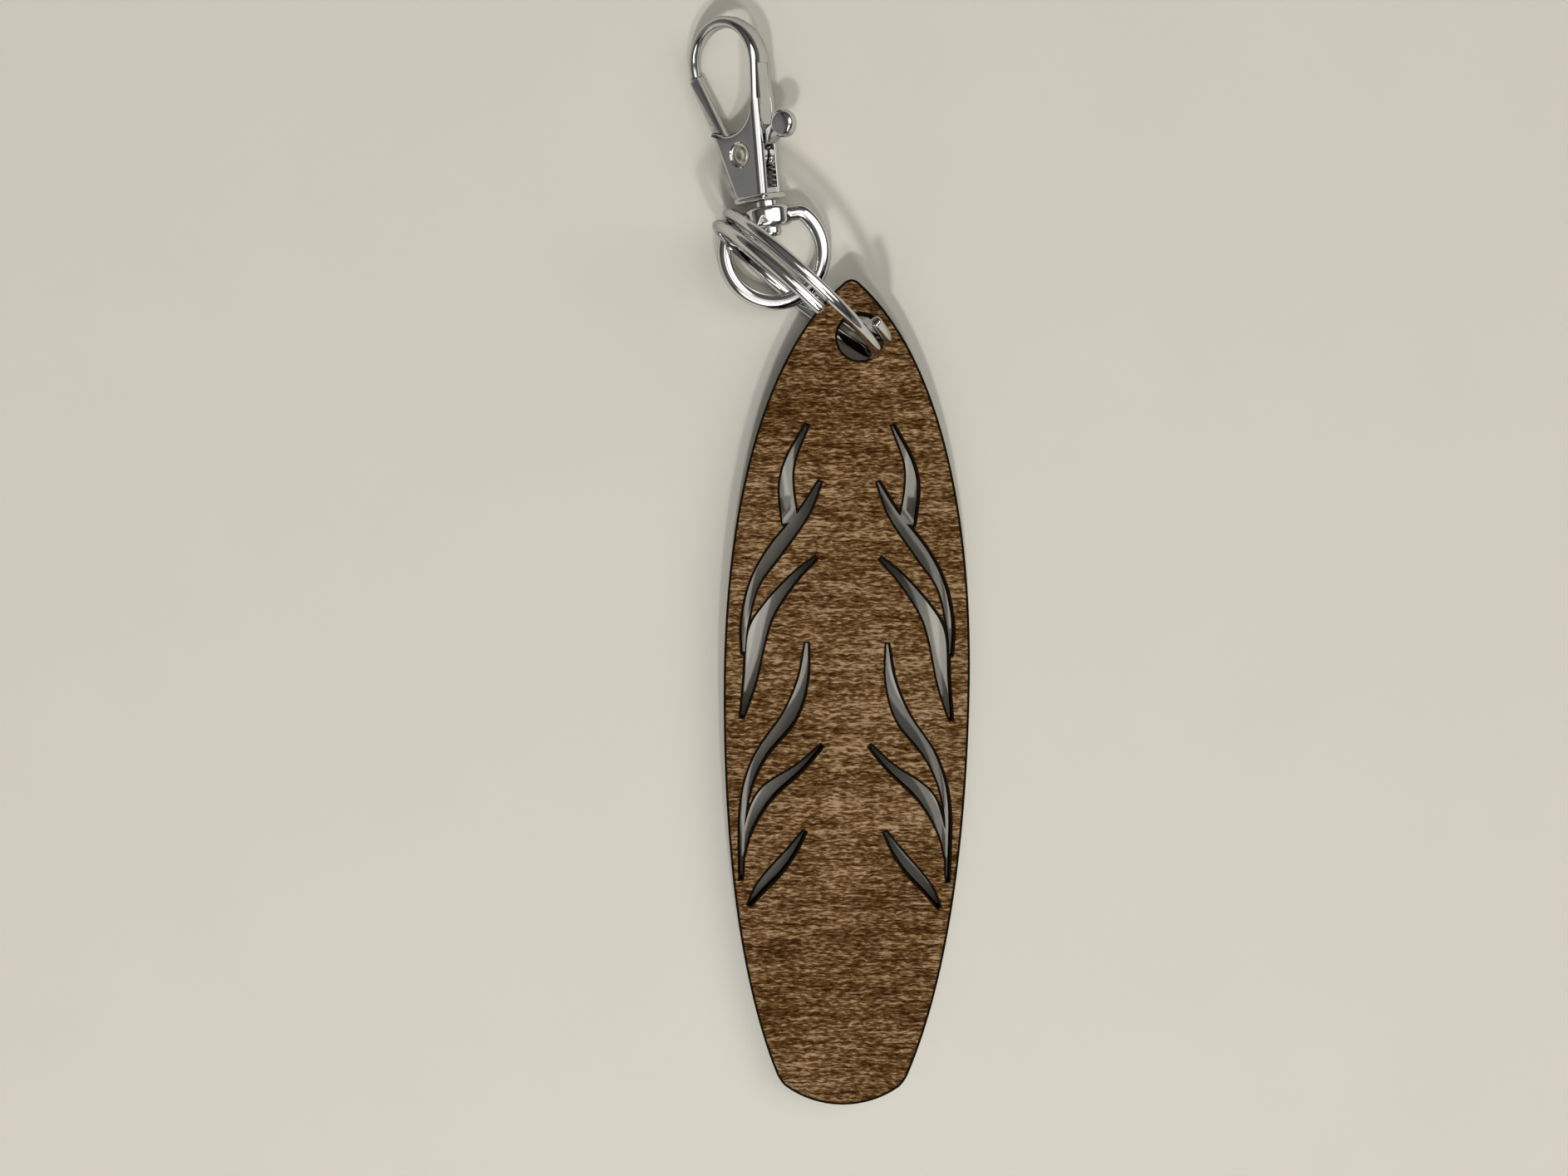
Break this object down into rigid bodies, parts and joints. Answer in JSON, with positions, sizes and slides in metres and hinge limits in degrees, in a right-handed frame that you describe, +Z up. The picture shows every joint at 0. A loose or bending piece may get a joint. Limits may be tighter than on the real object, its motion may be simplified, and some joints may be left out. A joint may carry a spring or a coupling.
{
  "type": "keychain",
  "caption": "Wooden surfboard tag with flame slots, on a wire split ring that links it to a swivel trigger clasp with a sprung gate.",
  "frame": {"origin": "middle of the keychain's box on the table that it lies on", "axes": "+Y from the tag's tail towards the clasp's hook, +Z up from the table"},
  "size_m": [0.035, 0.1352, 0.0256],
  "materials": {
    "tag_wood": "brown-stained thin board, laser-charred edges",
    "ring_wire": "bright nickel plate",
    "swivel_plating": "bright nickel plate",
    "stud_plating": "bright nickel plate",
    "clasp_plating": "bright nickel plate",
    "lever_plating": "bright nickel plate",
    "pin_nickel": "warm nickel",
    "spring_steel": "plain spring wire"
  },
  "bodies": {
    "tag": {"surf_tag": "tag_wood"},
    "ring": {"split_ring": "ring_wire"},
    "swivel": {"swivel_ring": "swivel_plating"},
    "clasp": {"clasp_body": "clasp_plating", "swivel_stud": "stud_plating", "pivot_pin": "pin_nickel", "lever_spring": "spring_steel"},
    "gate": {"gate_lever": "lever_plating"}
  },
  "joints": [
    {"name": "ring_in_hole", "type": "hinge", "parent": "tag", "child": "ring", "pos_m": [0.00384, 0.02784, 0.00516], "axis": [-0.0004, -0.0384, 0.9993], "range_deg": [-120, 50]},
    {"name": "ring_slide", "type": "hinge", "parent": "ring", "child": "swivel", "pos_m": [-0.00321, 0.0336, 0.0128], "axis": [-0.6506, -0.7591, -0.0209], "range_deg": [-120, 8]},
    {"name": "clasp_swivel", "type": "hinge", "parent": "swivel", "child": "clasp", "pos_m": [-0.00778, 0.04499, 0.00432], "axis": [-0.1548, 0.9776, 0.1426], "continuous": true},
    {"name": "gate_pivot", "type": "hinge", "parent": "clasp", "child": "gate", "pos_m": [-0.00972, 0.05078, 0.0043], "axis": [0.6311, 0.2089, -0.747], "range_deg": [0, 42], "stiffness_Nm_per_rad": 0.01, "springref_deg": -17.19, "deforming": ["lever_spring"]}
  ]
}
